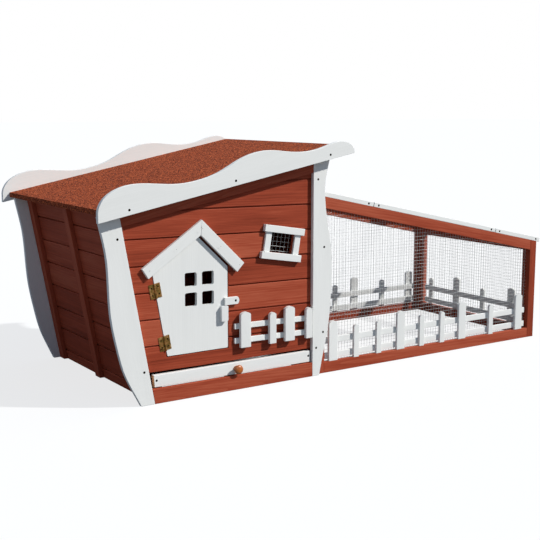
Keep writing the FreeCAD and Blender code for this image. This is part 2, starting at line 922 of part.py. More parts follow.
def run_end_mesh():
    """Welded wire on the inner side of the end frame."""
    front = frame_thickness + stile_width
    rear = run_depth - frame_thickness - stile_width
    top = run_end_height - frame_rail_width
    lap = mesh_margin
    outline = [
        (front - lap, frame_rail_width - lap), (rear + lap, frame_rail_width - lap),
        (rear + lap, top + lap), (front - lap, top + lap),
    ]
    sheet = net(outline, side_mesh_pitch, front, rear, lambda x: (frame_rail_width, top))
    sheet = turned(sheet, FreeCAD.Vector(0, 0, 0), z_axis, 90)
    return [moved(sheet, FreeCAD.Vector(run_right - frame_thickness, 0, 0))]


# Top of the run: a fixed panel at each end and the lid between them

def on_run_top(shape, lift):
    """A shape drawn level from the hutch end, laid on the slope and lifted off it."""
    laid = turned(shape, FreeCAD.Vector(0, 0, 0), y_axis, run_pitch)
    return moved(laid, FreeCAD.Vector(run_left, 0, run_line(run_left)) + run_up * lift)


def panel_boards(start, end):
    """Front and rear boards with two cross boards between them."""
    width = top_board_width
    cross = cross_board_width
    thick = top_board_thickness
    return [
        block(start, end, 0, width, 0, thick),
        block(start, end, run_depth - width, run_depth, 0, thick),
        block(start, start + cross, width, run_depth - width, 0, thick),
        block(end - cross, end, width, run_depth - width, 0, thick),
    ]


def panel_mesh(start, end):
    """Welded wire under a panel, between the run's side frames."""
    lap = cross_mesh_lap
    front = frame_thickness + top_mesh_clearance
    rear = run_depth - front
    left = start + cross_board_width
    right = end - cross_board_width
    outline = [(left - lap, front), (right + lap, front), (right + lap, rear), (left - lap, rear)]
    low = top_board_width
    high = run_depth - top_board_width
    sheet = net(outline, top_mesh_pitch, left, right, lambda x: (low, high))
    return turned(sheet, FreeCAD.Vector(0, 0, 0), x_axis, -90)


def panel_screw_points(start, end, lift):
    """Screws through the front edge into the ends of the cross boards."""
    half = cross_board_width / 2
    rise = run_up * (lift + top_board_thickness / 2)
    origin = FreeCAD.Vector(run_left, 0, run_line(run_left)) + rise
    return [origin + run_along * place for place in (start + half, end - half)]


# Fence round the run

def picket_row(kinds, shares, start, length):
    """Pickets standing on the bottom rail at shares of its length, with their faces at y = 0."""
    row = []
    for kind, share in zip(kinds, shares):
        wide = kind == "wide"
        width = wide_picket if wide else narrow_picket
        height = wide_picket_height if wide else narrow_picket_height
        row.append(picket(start + share * length, width, frame_rail_width, height, 0, picket_thickness))
    return row


def fence_rails(left, right):
    """Two rails behind the pickets."""
    back = picket_thickness + fence_rail_thickness
    feet = (fence_rail_foot, fence_rail_foot + fence_rail_spacing)
    return [block(left, right, picket_thickness, back, foot, foot + fence_rail_height) for foot in feet]


def to_end(shapes):
    """Pieces drawn for the front, set in the end frame with their faces outward."""
    laid = [turned(shape, FreeCAD.Vector(0, 0, 0), z_axis, 90) for shape in shapes]
    return [moved(shape, FreeCAD.Vector(run_right, 0, 0)) for shape in laid]


def run_rear(shapes):
    """The same pieces in the run's rear frame."""
    return [mirrored_to_rear(shape, run_depth) for shape in shapes]


# Hinges

def in_hinge_frame(shape, centre, leaf_way, normal):
    """A shape drawn with its pin along x, its leaf towards y and its face towards z, put in place."""
    along = leaf_way.cross(normal)
    matrix = FreeCAD.Matrix(
        along.x, leaf_way.x, normal.x, centre.x,
        along.y, leaf_way.y, normal.y, centre.y,
        along.z, leaf_way.z, normal.z, centre.z,
        0, 0, 0, 1,
    )
    placed = shape.copy()
    placed.Placement = FreeCAD.Placement(matrix)
    return placed


def leaf_screw_places(length, width):
    """Two screws in the middle of a leaf's plate."""
    middle = (knuckle_radius + width) / 2 + knuckle_gap
    face = leaf_thickness - pin_stand_off
    return [FreeCAD.Vector(side * length / 4, middle, face) for side in (-1, 1)]


def leaf(length, width, outer):
    """One leaf with its knuckles; the outer leaf has the end knuckles."""
    reach = knuckle_radius + knuckle_gap
    step = length / knuckle_count
    plate = block(-length / 2, length / 2, reach, width, -pin_stand_off, leaf_thickness - pin_stand_off)
    pieces = []
    for number in range(0 if outer else 1, knuckle_count, 2):
        low = -length / 2 + number * step + (knuckle_gap / 2 if number else 0)
        high = -length / 2 + (number + 1) * step - (knuckle_gap / 2 if number < knuckle_count - 1 else 0)
        pieces.append(Part.makeCylinder(knuckle_radius, high - low, FreeCAD.Vector(low, 0, 0), x_axis))
        pieces.append(block(low, high, 0, reach, -pin_stand_off, leaf_thickness - pin_stand_off))
    bore = Part.makeCylinder(pin_radius + running_gap, length, FreeCAD.Vector(-length / 2, 0, 0), x_axis)
    holes = [
        screw(point, FreeCAD.Vector(0, 0, -1), hinge_screw_length, hinge_screw, running_gap)
        for point in leaf_screw_places(length, width)
    ]
    return plate.fuse(pieces).removeSplitter().cut([bore] + holes)


def hinge_pin(length):
    """Pin with a small head at each end."""
    start = FreeCAD.Vector(-length / 2 - pin_head_height, 0, 0)
    pin = Part.makeCylinder(pin_radius, length + 2 * pin_head_height, start, x_axis)
    heads = [
        Part.makeCylinder(pin_head_radius, pin_head_height, FreeCAD.Vector(x, 0, 0), x_axis)
        for x in (-length / 2 - pin_head_height, length / 2)
    ]
    return pin.fuse(heads).removeSplitter()


def hinge(centre, length, fixed, moving):
    """A butt hinge: its leaves, pin, screws and screw holes. fixed and moving are (width, way, normal)."""
    made = {}
    for name, (width, way, normal), outer in (("fixed", fixed, True), ("moving", moving, False)):
        made[name] = in_hinge_frame(leaf(length, width, outer), centre, way, normal)
        for key, grow in (("screws", 0), ("holes", running_gap)):
            made[name + "_" + key] = [
                in_hinge_frame(
                    screw(point, FreeCAD.Vector(0, 0, -1), hinge_screw_length, hinge_screw, grow),
                    centre, way, normal,
                )
                for point in leaf_screw_places(length, width)
            ]
    made["pin"] = in_hinge_frame(hinge_pin(length), centre, fixed[1], fixed[2])
    return made


def gathered(hinges, key):
    """One kind of piece from several hinges, as a flat list."""
    pieces = []
    for made in hinges:
        found = made[key]
        pieces += found if isinstance(found, list) else [found]
    return pieces


def door_hinges():
    """Two hinges on the face of the door, with the pins over the gap at its leaning edge."""
    across = lean_up.cross(y_axis) * -1
    outward = FreeCAD.Vector(0, -1, 0)
    hinges = []
    for share in door_hinge_shares:
        z = door_foot + share * (door_shoulder - door_foot)
        centre = FreeCAD.Vector(door_left_edge(z) - door_gap / 2, -pin_stand_off, z)
        sides = ((door_hinge_leaf, across * -1, outward), (door_hinge_leaf, across, outward))
        hinges.append(hinge(centre, door_hinge_length, *sides))
    return hinges


def roof_pin_line(x):
    """A point on the roof's hinge line, behind the rear top rail and under the deck."""
    drop = pin_stand_off / math.cos(math.radians(roof_pitch))
    return FreeCAD.Vector(x, rear_post_face + pin_stand_off, roof_line(x) + deck_rise - drop)


def roof_hinges():
    """Two hinges between the rear top rail and the deck."""
    down = y_axis.cross(roof_along)
    if down.z > 0:
        down = down * -1
    hinges = []
    for share in roof_hinge_shares:
        centre = roof_pin_line(wall_x(roof_height) + share * (post_inner_x - wall_x(roof_height)))
        sides = ((roof_hinge_drop_leaf, down, y_axis), (roof_hinge_leaf, y_axis, down))
        hinges.append(hinge(centre, roof_hinge_length, *sides))
    return hinges


def lid_pin_line(place):
    """A point on the lid's hinge line, at the seam over the rear top rail."""
    origin = FreeCAD.Vector(run_left, run_depth + pin_stand_off, run_line(run_left))
    return origin + run_along * place + run_up * (lap_gap / 2)


def lid_hinges():
    """Two hinges between the rear top rail and the lid's rear edge."""
    hinges = []
    for share in lid_hinge_shares:
        centre = lid_pin_line(lid_start + share * lid_length)
        sides = ((lid_hinge_drop_leaf, run_up * -1, y_axis), (lid_hinge_leaf, run_up, y_axis))
        hinges.append(hinge(centre, lid_hinge_length, *sides))
    return hinges


# Everything, node by node

def save(name, solids):
    """Write one node about the middle of the object's box."""
    shape = Part.makeCompound([moved(solid, shift) for solid in solids])
    shape.exportStep("parts/" + name + ".step")
    print(name, len(solids), "solids", round(sum(solid.Volume for solid in solids)), "mm3")


def say_line(name, point, direction):
    """Print a joint's line in the frame of the saved object."""
    place = point + shift
    print(name, [round(v, 3) for v in place], [round(v, 6) for v in direction])


def save_hutch(door, roof, lid):
    """Walls, posts, rails and what is fixed to them."""
    front_points = post_screw_points(left_screw_shares, right_screw_shares, -post_thickness)
    rear_points = post_screw_points(rear_left_screw_shares, rear_right_screw_shares, rear_post_face)
    front_screws, front_holes = screws_and_holes(front_points, y_axis, post_screw_length, wood_screw)
    rear_screws, rear_holes = screws_and_holes(rear_points, y_axis * -1, post_screw_length, wood_screw)
    pivot = [FreeCAD.Vector(button_pivot_x, -button_thickness - lap_gap, button_pivot_height)]
    pivot_length = button_thickness + board_thickness
    pivot_screws, pivot_holes = screws_and_holes(pivot, y_axis, pivot_length, wood_screw)
    post_holes = front_holes + rear_holes

    save("front_boards", front_boards(gathered(door, "fixed_holes") + pivot_holes + front_holes))
    save("rear_boards", rear_boards(rear_holes))
    save("left_boards", left_boards())
    save("right_boards", right_boards(rear_holes))
    save("left_battens", left_battens(post_holes))
    save("right_battens", right_battens(post_holes))
    save("left_front_post", left_post(left_post_width, front_holes))
    save("right_front_post", right_post(front_holes))
    save("left_rear_post", without(to_rear(left_post(rear_left_post_width, [])), rear_holes))
    save("right_rear_post", without(to_rear(right_post([])), rear_holes))
    save("front_rails", front_rails())
    save("rear_rails", without(to_rear(front_rails()), gathered(roof, "fixed_holes")))
    save("tray_runners", runners())
    save("post_screws", front_screws + rear_screws)
    save("gable_trims", gable_trims())
    save("window_boards", window_boards())
    save("window_mesh", window_mesh())
    save("mini_fence_pickets", mini_fence_pickets())
    save("mini_fence_rails", mini_fence_rails())
    save("turn_button", turn_button(pivot_holes))
    save("turn_button_screw", pivot_screws)
    save("door_hinge_wall_leaves", gathered(door, "fixed"))
    save("roof_hinge_rail_leaves", gathered(roof, "fixed"))
    save("lid_hinge_rail_leaves", gathered(lid, "fixed"))
    save("hinge_pins", gathered(door + roof + lid, "pin"))
    save("hinge_screws", gathered(door + roof + lid, "fixed_screws"))
    save_run(front_holes, lid)


def save_run(front_holes, lid):
    """Frames, wire and fences of the run."""
    rear_top = gathered(lid, "fixed_holes")
    save("run_front_stiles", run_side_stiles(front_holes))
    save("run_front_rails", run_side_rails())
    save("run_rear_stiles", run_rear(run_side_stiles([])))
    save("run_rear_rails", without(run_rear(run_side_rails()), rear_top))
    save("run_end_frame", run_end_frame())
    save("run_front_mesh", run_side_mesh())
    save("run_rear_mesh", run_rear(run_side_mesh()))
    save("run_end_mesh", run_end_mesh())

    front_row = picket_row(picket_kinds, picket_shares, run_left, run_length)
    rear_row = picket_row(picket_kinds, rear_picket_shares, run_left, run_length)
    end_row = picket_row(end_picket_kinds, end_picket_shares, 0, run_depth)
    rail_left = run_left + stile_width + fence_rail_end_gap
    rail_right = run_right - stile_width - fence_rail_end_gap
    side_rails = fence_rails(rail_left, rail_right)
    end_start = frame_thickness + stile_width + fence_rail_end_gap
    end_rails = fence_rails(end_start, run_depth - end_start)
    save("run_fence_pickets", front_row + run_rear(rear_row) + to_end(end_row))
    save("run_fence_rails", side_rails + run_rear(side_rails) + to_end(end_rails))
    save_fixed_tops()


def save_fixed_tops():
    """The two fixed panels on the run."""
    spans = ((top_panel_start, lid_start - panel_seam), (lid_start + lid_length + panel_seam, top_far_end))
    boards = [on_run_top(board, 0) for start, end in spans for board in panel_boards(start, end)]
    meshes = [on_run_top(panel_mesh(start, end), 0) for start, end in spans]
    points = [point for start, end in spans for point in panel_screw_points(start, end, 0)]
    screws, holes = screws_and_holes(points, y_axis, top_screw_length, wood_screw)
    save("fixed_top_boards", without(boards, holes))
    save("fixed_top_meshes", meshes)
    save("fixed_top_screws", screws)


def save_lid(lid):
    """The hinged lid between the fixed panels."""
    end = lid_start + lid_length
    boards = [on_run_top(board, lap_gap) for board in panel_boards(lid_start, end)]
    points = panel_screw_points(lid_start, end, lap_gap)
    screws, holes = screws_and_holes(points, y_axis, top_screw_length, wood_screw)
    save("lid_boards", without(boards, holes + gathered(lid, "moving_holes")))
    save("lid_mesh", [on_run_top(panel_mesh(lid_start, end), lap_gap)])
    save("lid_screws", screws)
    save("lid_hinge_leaves", gathered(lid, "moving"))
    save("lid_hinge_screws", gathered(lid, "moving_screws"))


def save_roof(roof):
    """The roof that lifts off the walls."""
    front_points = bargeboard_screw_points(front_face)
    rear_points = bargeboard_screw_points(rear_face)
    front_screws, front_holes = screws_and_holes(front_points, y_axis, bargeboard_screw_length, wood_screw)
    rear_screws, rear_holes = screws_and_holes(rear_points, y_axis * -1, bargeboard_screw_length, wood_screw)
    save("roof_deck", roof_deck(front_holes + rear_holes + gathered(roof, "moving_holes")))
    save("roof_felt", roof_felt())
    save("front_bargeboard", bargeboard(front_face, deck_front, front_holes))
    save("rear_bargeboard", bargeboard(deck_rear, rear_face, rear_holes))
    save("bargeboard_screws", front_screws + rear_screws)
    save("roof_hinge_leaves", gathered(roof, "moving"))
    save("roof_hinge_screws", gathered(roof, "moving_screws"))


def save_door(door):
    """The door and what moves with it."""
    save("door_panel", door_panel(gathered(door, "moving_holes")))
    save("door_handle", door_handle())
    save("door_hinge_leaves", gathered(door, "moving"))
    save("door_hinge_screws", gathered(door, "moving_screws"))


def save_tray():
    """The pull-out tray."""
    screws, holes = screws_and_holes(tray_screw_points(), y_axis, tray_screw_length, wood_screw)
    save("tray_front", tray_front(holes))
    save("tray_pan", tray_pan(holes))
    save("tray_knob", tray_knob())
    save("tray_screws", screws)


os.makedirs("parts", exist_ok=True)
door = door_hinges()
roof = roof_hinges()
lid = lid_hinges()
save_hutch(door, roof, lid)
save_roof(roof)
save_door(door)
save_tray()
save_lid(lid)
door_pin_foot = FreeCAD.Vector(door_left_edge(door_foot) - door_gap / 2, -pin_stand_off, door_foot)
say_line("door line", door_pin_foot, lean_up)
say_line("button line", FreeCAD.Vector(button_pivot_x, 0, button_pivot_height), y_axis)
say_line("roof line", roof_pin_line(0), roof_along)
say_line("lid line", lid_pin_line(lid_start), run_along)
say_line("object's corner", FreeCAD.Vector(overall_right, rear_face, 0), z_axis)
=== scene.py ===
import json
import math
import random

import bmesh
import bpy
from mathutils import Matrix, Vector

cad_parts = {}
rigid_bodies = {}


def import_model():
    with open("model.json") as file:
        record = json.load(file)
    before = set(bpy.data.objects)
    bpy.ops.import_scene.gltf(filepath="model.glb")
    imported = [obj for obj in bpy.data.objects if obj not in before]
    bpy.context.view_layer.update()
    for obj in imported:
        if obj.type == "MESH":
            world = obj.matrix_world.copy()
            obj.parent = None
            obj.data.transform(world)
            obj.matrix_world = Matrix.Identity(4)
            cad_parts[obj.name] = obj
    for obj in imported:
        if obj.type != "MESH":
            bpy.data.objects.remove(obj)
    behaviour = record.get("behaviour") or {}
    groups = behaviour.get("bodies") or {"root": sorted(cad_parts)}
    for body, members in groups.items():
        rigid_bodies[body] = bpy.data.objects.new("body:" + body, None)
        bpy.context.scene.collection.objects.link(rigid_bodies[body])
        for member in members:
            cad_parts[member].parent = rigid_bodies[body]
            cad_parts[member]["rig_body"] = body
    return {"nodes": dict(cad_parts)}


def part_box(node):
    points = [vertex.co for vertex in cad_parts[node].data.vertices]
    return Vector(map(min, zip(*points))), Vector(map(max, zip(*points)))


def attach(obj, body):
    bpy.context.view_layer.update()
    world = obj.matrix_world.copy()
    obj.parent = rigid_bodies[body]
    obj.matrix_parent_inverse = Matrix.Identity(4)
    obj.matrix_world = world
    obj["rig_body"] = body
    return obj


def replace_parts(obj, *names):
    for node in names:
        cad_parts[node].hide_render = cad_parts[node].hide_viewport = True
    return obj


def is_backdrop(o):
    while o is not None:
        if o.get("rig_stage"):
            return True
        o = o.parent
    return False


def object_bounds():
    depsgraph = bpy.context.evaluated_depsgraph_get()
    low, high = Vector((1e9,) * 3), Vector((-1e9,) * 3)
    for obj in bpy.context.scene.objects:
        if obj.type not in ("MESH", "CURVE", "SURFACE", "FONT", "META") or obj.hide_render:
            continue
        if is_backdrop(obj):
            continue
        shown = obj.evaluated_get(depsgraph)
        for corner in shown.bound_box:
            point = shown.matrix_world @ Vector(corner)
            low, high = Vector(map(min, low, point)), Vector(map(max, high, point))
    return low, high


# A rabbit hutch with a run: a leaning timber body under a felted roof, and a wired frame beside it.
# Metres, +Z up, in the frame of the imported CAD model.
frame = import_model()
cad_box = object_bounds()
scene = bpy.context.scene


# Camera
# It stands before the hutch's left corner, a little above the roof, and looks along the run. Its
# place, turn and lens come from the edges of the hutch and the run in the photograph.
focal_pixels, frame_pixels = 1013, 540
degrees_right, degrees_down = 33.5, 9.1
eye = bpy.data.cameras.new("camera")
eye.sensor_width = 36.0
eye.lens = focal_pixels / frame_pixels * eye.sensor_width
camera = bpy.data.objects.new("camera", eye)
camera.location = (-2.150027, -3.117, 0.910)
camera.rotation_euler = (math.radians(90 - degrees_down), 0.0, math.radians(-degrees_right))
scene.collection.objects.link(camera)
scene.camera = camera


# Studio
# A pale floor and a white surround. One lamp stands high at the front right and the surround fills
# in from all sides with a cooler light; the camera and gloss see the surround as plain white.
def srgb(code):
    """A hex colour as the linear values that a shader takes."""
    values = [int(code[n:n + 2], 16) / 255 for n in (1, 3, 5)]
    return [v / 12.92 if v <= 0.04045 else ((v + 0.055) / 1.055) ** 2.4 for v in values] + [1.0]


def add(tree, kind, links=None, **settings):
    """A node with its settings, and its inputs linked to outputs or set to values."""
    node = tree.nodes.new(kind)
    for name, value in settings.items():
        setattr(node, name, value)
    for key, value in (links or {}).items():
        if isinstance(value, bpy.types.NodeSocket):
            tree.links.new(value, node.inputs[key])
        else:
            node.inputs[key].default_value = value
    return node


def blank(name):
    """A new material and its empty node tree."""
    material = bpy.data.materials.new(name)
    material.use_nodes = True
    material.node_tree.nodes.clear()
    return material, material.node_tree


scene.view_settings.view_transform = "Standard"
surround = bpy.data.worlds.new("surround")
surround.use_nodes = True
tree = surround.node_tree
tree.nodes.clear()
ray = add(tree, "ShaderNodeLightPath")
through = {0: ray.outputs["Is Camera Ray"], 1: ray.outputs["Is Transmission Ray"]}
clear = add(tree, "ShaderNodeMath", through, operation="MAXIMUM")
either = {0: clear.outputs[0], 1: ray.outputs["Is Glossy Ray"]}
seen = add(tree, "ShaderNodeMath", either, operation="MAXIMUM")
fill = add(tree, "ShaderNodeBackground", {"Color": srgb("#C4D8F4"), "Strength": 0.42})
white = add(tree, "ShaderNodeBackground", {"Color": (1, 1, 1, 1), "Strength": 1.0})
mixed = {0: seen.outputs[0], 1: fill.outputs[0], 2: white.outputs[0]}
mixed = add(tree, "ShaderNodeMixShader", mixed)
add(tree, "ShaderNodeOutputWorld", {"Surface": mixed.outputs[0]})
scene.world = surround

lamp = bpy.data.lights.new("softbox", "SUN")
lamp.energy = 4.3
lamp.angle = math.radians(1.5)
lamp.color = (1.0, 0.965, 0.915)
softbox = bpy.data.objects.new("softbox", lamp)
towards_lamp = Vector((0.565, -0.508, 0.65))
softbox.rotation_euler = towards_lamp.to_track_quat("Z", "Y").to_euler()
scene.collection.objects.link(softbox)

floor_reach, floor_drop = 60.0, 0.0005
floor_mesh = bpy.data.meshes.new("floor")
corners = [(x * floor_reach, y * floor_reach, 0) for x, y in ((-1, -1), (1, -1), (1, 1), (-1, 1))]
floor_mesh.from_pydata(corners, [], [(0, 1, 2, 3)])
floor = bpy.data.objects.new("floor", floor_mesh)
floor.location.z = -floor_drop
scene.collection.objects.link(floor)
pale, tree = blank("pale_floor")
ray = add(tree, "ShaderNodeLightPath")
lit = add(tree, "ShaderNodeBsdfDiffuse", {"Color": srgb("#7C7E80")})
glow = add(tree, "ShaderNodeEmission", {"Color": (1, 1, 1, 1), "Strength": 0.76})
both = add(tree, "ShaderNodeAddShader", {0: lit.outputs[0], 1: glow.outputs[0]})
choice = {0: ray.outputs["Is Camera Ray"], 1: lit.outputs[0], 2: both.outputs[0]}
choice = add(tree, "ShaderNodeMixShader", choice)
add(tree, "ShaderNodeOutputMaterial", {"Surface": choice.outputs[0]})
floor_mesh.materials.append(pale)
floor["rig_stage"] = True


# Red-stained boards, battens and frames
# Planed fir with a thin red-brown stain that lets the grain through: long fibres, growth rings that
# show as arches, and each board a little lighter or darker than the next. The arrises are eased.
def solids_of(node):
    """The node's solids as lists of triangles: each is whole when all its edges have met."""
    mesh = frame["nodes"][node].data
    places = [tuple(round(c, 6) for c in v.co) for v in mesh.vertices]
    solids, triangles, loose = [], [], set()
    for polygon in mesh.polygons:
        corners = [places[i] for i in polygon.vertices]
        triangles.append(corners)
        for edge in zip(corners, corners[1:] + corners[:1]):
            if edge[::-1] in loose:
                loose.remove(edge[::-1])
            elif edge[0] != edge[1]:
                loose.add(edge)
        if not loose:
            solids.append(triangles)
            triangles = []
    return solids


def eased(triangles, ease):
    """One solid with its long arrises rounded over."""
    weld, flat, square = 2e-6, math.radians(0.4), math.radians(60)
    shortest = 2.2 * ease
    piece = bmesh.new()
    for corners in triangles:
        piece.faces.new([piece.verts.new(c) for c in corners])
    bmesh.ops.remove_doubles(piece, verts=piece.verts, dist=weld)
    bmesh.ops.dissolve_limit(piece, angle_limit=flat, verts=piece.verts, edges=piece.edges)
    outward = [e for e in piece.edges if e.is_manifold and e.is_convex]
    long = [e for e in outward if e.calc_length() > shortest]
    sharp = [e for e in long if e.calc_face_angle() > square]
    rounding = {"segments": 2, "profile": 0.5, "affect": "EDGES", "clamp_overlap": True}
    bmesh.ops.bevel(piece, geom=sharp, offset=ease, **rounding)
    return piece


def lie_of_grain(triangles, along):
    """Axes of a piece: along the grain, across its face and through its thickness."""
    edges = [Vector(b) - Vector(a) for t in triangles for a, b in zip(t, t[1:] + t[:1])]
    if along is None:
        along = max(edges, key=lambda e: e.length)
    along = Vector(along).normalized()
    best, face = 0.0, None
    for a, b, c in triangles:
        normal = (Vector(b) - Vector(a)).cross(Vector(c) - Vector(a))
        normal -= normal.dot(along) * along
        if normal.length > best:
            best, face = normal.length, normal.normalized()
    return along, face.cross(along), face


def planed(node, material, along=None, ease=0.0012):
    """A node's boards with eased arrises and the lie of the grain in each, in the node's place."""
    chance = random.Random(node)
    points, faces, grain, tones = [], [], [], []
    for triangles in solids_of(node):
        axes = lie_of_grain(triangles, along)
        # Each board comes from its own place in the log, a few centimetres from the heart
        heart = chance.choice((-1, 1)) * chance.uniform(0.02, 0.07)
        start = Vector((chance.uniform(0, 9), chance.uniform(-0.03, 0.03), heart))
        tone = chance.random()
        middle = sum((Vector(c) for t in triangles for c in t), Vector()) / (3 * len(triangles))
        piece = eased(triangles, ease)
        first = len(points)
        piece.verts.index_update()
        for vertex in piece.verts:
            out = vertex.co - middle
            points.append(vertex.co[:])
            grain.extend(out.dot(axis) + offset for axis, offset in zip(axes, start))
            tones.append(tone)
        faces.extend([first + v.index for v in f.verts] for f in piece.faces)
        piece.free()
    mesh = bpy.data.meshes.new(node + "_planed")
    mesh.from_pydata(points, [], faces)
    mesh.attributes.new("grain", "FLOAT_VECTOR", "POINT").data.foreach_set("vector", grain)
    mesh.attributes.new("tone", "FLOAT", "POINT").data.foreach_set("value", tones)
    mesh.shade_smooth()
    mesh.set_sharp_from_angle(angle=math.radians(50))
    mesh.materials.append(material)
    shaped = bpy.data.objects.new(node + "_planed", mesh)
    scene.collection.objects.link(shaped)
    weighted = shaped.modifiers.new("normals", "WEIGHTED_NORMAL")
    weighted.keep_sharp = True
    scene_now = bpy.context.evaluated_depsgraph_get()
    finished = bpy.data.meshes.new_from_object(shaped.evaluated_get(scene_now))
    shaped.modifiers.clear()
    shaped.data = finished
    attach(shaped, frame["nodes"][node]["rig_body"])
    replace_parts(shaped, node)
    return shaped


def wood(name, colours, roughness, relief, ring_share, shine):
    """Wood under a finish: fibres and growth rings between a dark and a light colour."""
    material, tree = blank(name)
    dark, middle, light = (srgb(c) for c in colours)
    grain = add(tree, "ShaderNodeAttribute", attribute_name="grain").outputs["Vector"]
    tone = add(tree, "ShaderNodeAttribute", attribute_name="tone").outputs["Fac"]
    # Fibres are 0.3 mm apart in the wood and 3 mm here, so that they show
    stretched = add(tree, "ShaderNodeMapping", {"Vector": grain, "Scale": (0.03, 1, 1)}).outputs[0]
    fibre_look = {"Vector": stretched, "Scale": 330.0, "Detail": 3.0, "Roughness": 0.65}
    fibres = add(tree, "ShaderNodeTexNoise", fibre_look).outputs["Fac"]
    # Growth rings 4 mm apart round the heart of the tree, a few centimetres from the board
    slow = add(tree, "ShaderNodeMapping", {"Vector": grain, "Scale": (0.06, 1, 1)}).outputs[0]
    ring_look = {"Vector": slow, "Scale": 78.0, "Distortion": 5.0}
    ring_look.update({"Detail": 2.0, "Detail Scale": 0.35})
    ring_kind = {"wave_type": "RINGS", "rings_direction": "X", "wave_profile": "SAW"}
    rings = add(tree, "ShaderNodeTexWave", ring_look, **ring_kind).outputs["Fac"]
    # The stain soaks in unevenly, in patches some 40 mm wide and ten times as long
    patchy = add(tree, "ShaderNodeMapping", {"Vector": grain, "Scale": (2.5, 25.0, 25.0)}).outputs[0]
    patches = {"Vector": patchy, "Scale": 1.0, "Detail": 2.0}
    patches = add(tree, "ShaderNodeTexNoise", patches).outputs["Fac"]
    figure = add(tree, "ShaderNodeMix", {0: ring_share, 2: fibres, 3: rings}).outputs[0]
    shade = add(tree, "ShaderNodeMix", {0: 0.45, 2: figure, 3: patches}).outputs[0]
    shift = {"Value": tone, "To Min": -0.09, "To Max": 0.09}
    shift = add(tree, "ShaderNodeMapRange", shift).outputs[0]
    level = add(tree, "ShaderNodeMath", {0: shade, 1: shift}, operation="ADD").outputs[0]
    ramp = add(tree, "ShaderNodeValToRGB", {"Fac": level})
    stops = ramp.color_ramp.elements
    stops[0].position, stops[0].color = 0.24, dark
    stops[1].position, stops[1].color = 0.76, light
    stops.new(0.5).color = middle
    bump = {"Strength": 0.6, "Distance": relief, "Height": figure}
    bump = add(tree, "ShaderNodeBump", bump).outputs[0]
    gloss = {"Value": fibres, "To Min": roughness - 0.08, "To Max": roughness + 0.1}
    gloss = add(tree, "ShaderNodeMapRange", gloss).outputs[0]
    look = {"Base Color": ramp.outputs["Color"], "Roughness": gloss, "Normal": bump}
    look["Specular IOR Level"] = shine
    surface = add(tree, "ShaderNodeBsdfPrincipled", look)
    add(tree, "ShaderNodeOutputMaterial", {"Surface": surface.outputs[0]})
    return material


red_stain = ("#6E2A18", "#99422B", "#B25D43")
red_stained_fir = wood(
    "red_stained_fir", red_stain, roughness=0.6, relief=0.0002, ring_share=0.22, shine=0.12
)
front_boards_fall = 0.0157
planed("front_boards", red_stained_fir, along=(1, 0, -front_boards_fall))
planed("rear_boards", red_stained_fir, along=(1, 0, 0))
for node in ("left_boards", "right_boards"):
    planed(node, red_stained_fir, along=(0, 1, 0))
for node in (
    "left_battens", "right_battens", "front_rails", "rear_rails",
    "run_front_stiles", "run_front_rails", "run_rear_stiles", "run_rear_rails", "run_end_frame",
):
    planed(node, red_stained_fir)


# White-painted posts, trims and boards
# The same fir under two coats of white. The paint fills the fibres, so they show only as faint
# lines and a slight unevenness in the gloss.
white_paint = ("#DFE1DF", "#E4E6E4", "#E9EBE9")
white_painted_fir = wood(
    "white_painted_fir", white_paint, roughness=0.5, relief=0.0001, ring_share=0.12, shine=0.3
)
rounder_ease = 0.002
for node in ("left_front_post", "right_front_post", "left_rear_post", "right_rear_post"):
    planed(node, white_painted_fir)
for node in ("gable_trims", "window_boards", "mini_fence_rails", "run_fence_rails"):
    planed(node, white_painted_fir)
for node in ("mini_fence_pickets", "run_fence_pickets", "turn_button", "door_handle"):
    planed(node, white_painted_fir, ease=rounder_ease)
for node in ("fixed_top_boards", "lid_boards", "front_bargeboard", "rear_bargeboard"):
    planed(node, white_painted_fir)
planed("door_panel", white_painted_fir, along=(0, 0, 1))


# Nails in the trims
# Thin wire nails hold the gable trims and the window's long boards. They were painted over, so each
# shows only as a small grey dot, a touch under the face.
def tree_with(name, sizes):
    """A Geometry Nodes tree with a named input for each size, and its input node's outputs."""
    tree = bpy.data.node_groups.new(name, "GeometryNodeTree")
    tree.interface.new_socket("Geometry", in_out="INPUT", socket_type="NodeSocketGeometry")
    for size in sizes:
        tree.interface.new_socket(size, in_out="INPUT", socket_type="NodeSocketFloat")
    tree.interface.new_socket("Material", in_out="INPUT", socket_type="NodeSocketMaterial")
    tree.interface.new_socket("Geometry", in_out="OUTPUT", socket_type="NodeSocketGeometry")
    return tree, tree.nodes.new("NodeGroupInput").outputs


def ended(tree, geometry, material):
    """The end of a tree: real geometry with its material."""
    real = add(tree, "GeometryNodeRealizeInstances", {"Geometry": geometry}).outputs[0]
    coated = {"Geometry": real, "Material": material}
    coated = add(tree, "GeometryNodeSetMaterial", coated).outputs[0]
    add(tree, "NodeGroupOutput", {0: coated})


def set_out(tree, inputs, piece):
    """The end of a tree that puts a piece at every place, turned to face outwards."""
    named = {"Name": "outward"}
    outward = add(tree, "GeometryNodeInputNamedAttribute", named, data_type="FLOAT_VECTOR")
    turn = {"Vector": outward.outputs[0]}
    turn = add(tree, "FunctionNodeAlignRotationToVector", turn, axis="Z").outputs[0]
    pieces = {"Points": inputs["Geometry"], "Instance": piece, "Rotation": turn}
    pieces = add(tree, "GeometryNodeInstanceOnPoints", pieces).outputs[0]
    ended(tree, pieces, inputs["Material"])


